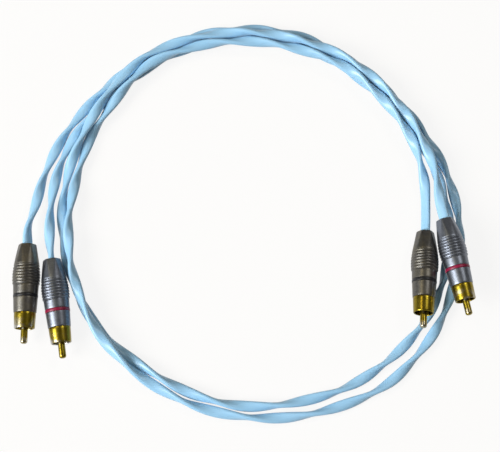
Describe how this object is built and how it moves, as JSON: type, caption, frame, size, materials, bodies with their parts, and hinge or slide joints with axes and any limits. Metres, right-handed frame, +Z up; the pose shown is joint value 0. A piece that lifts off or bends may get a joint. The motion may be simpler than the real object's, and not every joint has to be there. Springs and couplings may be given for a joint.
{
  "type": "stereo audio interconnect cable",
  "caption": "Matched stereo phono interconnect leads in a loose flat coil: oval blue twisted cable, ribbed nickel-plated plugs with colour rings, gold-plated sleeves and pins.",
  "frame": {"origin": "middle of the box round the four plugs, on the surface the coil lies on", "axes": "+Z up from the surface, +X from the near plugs to the far plugs, -Y the way the plug pins point"},
  "size_m": [0.2102, 0.1901, 0.0176],
  "materials": {
    "nickel": "satin nickel plate on turned brass",
    "gold": "polished gold plate on turned brass",
    "black_plastic": "moulded, satin",
    "red_plastic": "moulded, satin",
    "white_plastic": "turned fluoroplastic, waxy",
    "liner": "shrunk polyolefin tube",
    "tinned_brass": "pressed and tinned",
    "core_red": "extruded core insulation",
    "core_white": "extruded core insulation",
    "blue_jacket": "smooth translucent sky-blue jacket, satin gloss"
  },
  "bodies": {
    "root": {"black_start_shell": "nickel", "black_start_colour_ring": "black_plastic", "black_start_collar": "nickel", "black_start_ground_sleeve": "gold", "black_start_insulator": "white_plastic", "black_start_centre_pin": "gold", "black_start_ground_tail": "tinned_brass", "black_start_liner": "liner", "black_start_signal_core": "core_red", "black_start_return_core": "core_white", "red_start_shell": "nickel", "red_start_colour_ring": "red_plastic", "red_start_collar": "nickel", "red_start_ground_sleeve": "gold", "red_start_insulator": "white_plastic", "red_start_centre_pin": "gold", "red_start_ground_tail": "tinned_brass", "red_start_liner": "liner", "red_start_signal_core": "core_red", "red_start_return_core": "core_white", "black_end_shell": "nickel", "black_end_colour_ring": "black_plastic", "black_end_collar": "nickel", "black_end_ground_sleeve": "gold", "black_end_insulator": "white_plastic", "black_end_centre_pin": "gold", "black_end_ground_tail": "tinned_brass", "black_end_liner": "liner", "black_end_signal_core": "core_red", "black_end_return_core": "core_white", "red_end_shell": "nickel", "red_end_colour_ring": "red_plastic", "red_end_collar": "nickel", "red_end_ground_sleeve": "gold", "red_end_insulator": "white_plastic", "red_end_centre_pin": "gold", "red_end_ground_tail": "tinned_brass", "red_end_liner": "liner", "red_end_signal_core": "core_red", "red_end_return_core": "core_white", "black_cord": "blue_jacket", "red_cord": "blue_jacket"}
  },
  "joints": []
}
